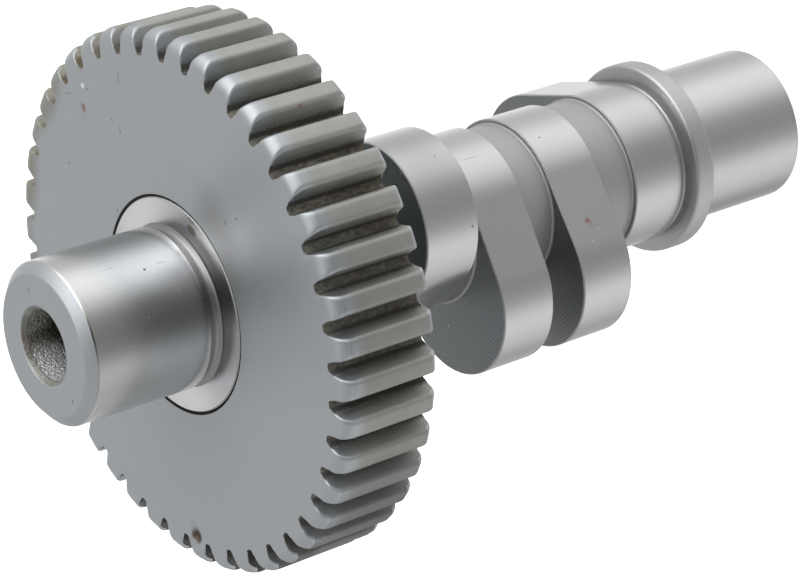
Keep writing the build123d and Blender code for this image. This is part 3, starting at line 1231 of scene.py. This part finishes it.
    def punch_mark(self, piece: bpy.types.Object) -> None:
        """Cut the round timing mark into the front face."""
        punch = self.punch()
        weighted = piece.modifiers[0]
        cut = piece.modifiers.new("mark", "BOOLEAN")
        cut.operation = "DIFFERENCE"
        cut.solver = "EXACT"
        cut.object = punch
        weighted.show_viewport = False
        depsgraph = bpy.context.evaluated_depsgraph_get()
        evaluated = piece.evaluated_get(depsgraph)
        marked = bpy.data.meshes.new_from_object(evaluated, depsgraph=depsgraph)
        weighted.show_viewport = True
        piece.modifiers.remove(cut)
        piece.data = marked
        bpy.data.objects.remove(punch)


@dataclass(frozen=True)
class Studio:
    """The pale floor, the soft light and the camera, with lengths in millimetres.

    Attributes:
        brightest: What the cards' light is divided by, so that it fits a colour ramp.
        low_cards: The light near the horizon every 20 degrees, from -180 to 180.
        high_cards: The light from above, in the same directions.
        card_rise: The rise between which the low cards give way to the high ones.
    """

    camera_place: Triple = (59.66, -360.05, 310.66)
    camera_turn: Triple = (-24.787, 51.836, -109.954)
    lens: float = 155.62
    sensor: float = 36.0
    near: float = 10.0
    floor_radius: float = 3000.0
    floor_points: int = 64
    floor_paint: Triple = (0.9, 0.9, 0.9)
    floor_glow: float = 0.8
    brightest: float = 4.0
    low_cards: tuple[float, ...] = (
        1.02, 1.2, 1.2, 0.75, 0.52, 0.52, 0.7, 1.2, 1.5, 1.5,
        1.1, 0.95, 1.1, 1.4, 1.45, 0.8, 0.66, 0.72, 1.02,
    )
    high_cards: tuple[float, ...] = (
        0.75, 0.75, 0.8, 0.45, 0.1, 0.1, 0.6, 2.3, 3.7, 3.4,
        1.4, 0.8, 0.6, 0.8, 0.78, 0.75, 0.8, 0.8, 0.75,
    )
    card_rise: Pair = (-0.1, 0.45)

    def build(self) -> None:
        """Set up everything round the object."""
        self.add_camera()
        self.add_floor()
        self.add_world()

    def add_camera(self) -> None:
        """Put the camera at the photograph's viewing angle."""
        data = bpy.data.cameras.new("camera")
        data.lens = self.lens
        data.sensor_width = self.sensor
        data.clip_start = self.near * MM
        camera = bpy.data.objects.new("camera", data)
        camera.location = Vector(self.camera_place) * MM
        camera.rotation_euler = [math.radians(turn) for turn in self.camera_turn]
        bpy.context.collection.objects.link(camera)
        bpy.context.scene.camera = camera

    def add_floor(self) -> None:
        """Lay a pale floor that metal sees through to the studio."""
        mesh = bmesh.new()
        radius = self.floor_radius * MM
        bmesh.ops.create_circle(mesh, cap_ends=True, segments=self.floor_points, radius=radius)
        floor = linked_object("floor", mesh)
        material = bpy.data.materials.new("pale_floor")
        graph = Graph(material)
        path = graph.node("ShaderNodeLightPath")
        paint = graph.node("ShaderNodeBsdfDiffuse", inputs={"Color": (*self.floor_paint, 1.0)})
        glow = graph.node("ShaderNodeEmission", inputs={"Strength": self.floor_glow})
        lit = graph.node("ShaderNodeAddShader", inputs={0: paint, 1: glow})
        seen = graph.choose(path, "Is Camera Ray", paint, lit)
        clear = graph.node("ShaderNodeBsdfTransparent")
        out = graph.choose(path, "Is Glossy Ray", seen, clear)
        graph.node("ShaderNodeOutputMaterial", inputs={0: out})
        floor.data.materials.append(material)

    def level(self, graph: Graph, polar: Wire, cards: tuple[float, ...]) -> Wire:
        """The light all round the object.

        Args:
            graph: The world's nodes.
            polar: The direction about the vertical, in radians.
            cards: The light every 20 degrees, from -180 to 180.

        Returns:
            The light in that direction.
        """
        turn = polar / (2 * math.pi) + 0.5
        last = len(cards) - 1
        stops = [(index / last, (card / self.brightest,) * 3) for index, card in enumerate(cards)]
        settings = {"stops": stops, "ramp": "CARDINAL"}
        ramp = graph.node("ShaderNodeValToRGB", settings, {0: turn})
        return graph.split(graph.wire(ramp))[0] * self.brightest

    def add_world(self) -> None:
        """Surround the object with soft light, paler in some directions."""
        world = bpy.data.worlds.new("studio")
        bpy.context.scene.world = world
        graph = Graph(world)
        path = graph.node("ShaderNodeLightPath")
        direction = graph.wire(graph.node("ShaderNodeTexCoord"), "Generated")
        x, y, rise = graph.split(direction)
        polar = graph.maths("ARCTAN2", y, x)
        low = self.level(graph, polar, self.low_cards)
        high = self.level(graph, polar, self.high_cards)
        share = graph.ramp_up(rise, *self.card_rise)
        level = low * (1.0 - share) + high * share
        lit = graph.node("ShaderNodeBackground", inputs={"Strength": level})
        white = graph.node("ShaderNodeBackground", inputs={"Strength": 1.0})
        out = graph.choose(path, "Is Camera Ray", lit, white)
        graph.node("ShaderNodeOutputWorld", inputs={0: out})


def main() -> None:
    """Build the pieces in order, dress them and report each one."""
    logging.basicConfig(level=logging.INFO, format="%(name)s: %(message)s")
    pieces = ((Camshaft(), "camshaft", "shaft_steel"), (TimingGear(), "timing_gear", "gear_steel"))
    for maker, node, slot in pieces:
        piece = maker.build()
        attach(piece, BODY)
        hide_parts(node)
        LOG.info("%s: %d faces", piece.name, len(piece.data.polygons))
    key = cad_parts["gear_key"]
    key.data.materials.clear()
    key.data.materials.append(MATERIALS[Surface.TURNED])
    Studio().build()
    bpy.context.scene.view_settings.view_transform = "Standard"


if __name__ == "__main__":
    main()
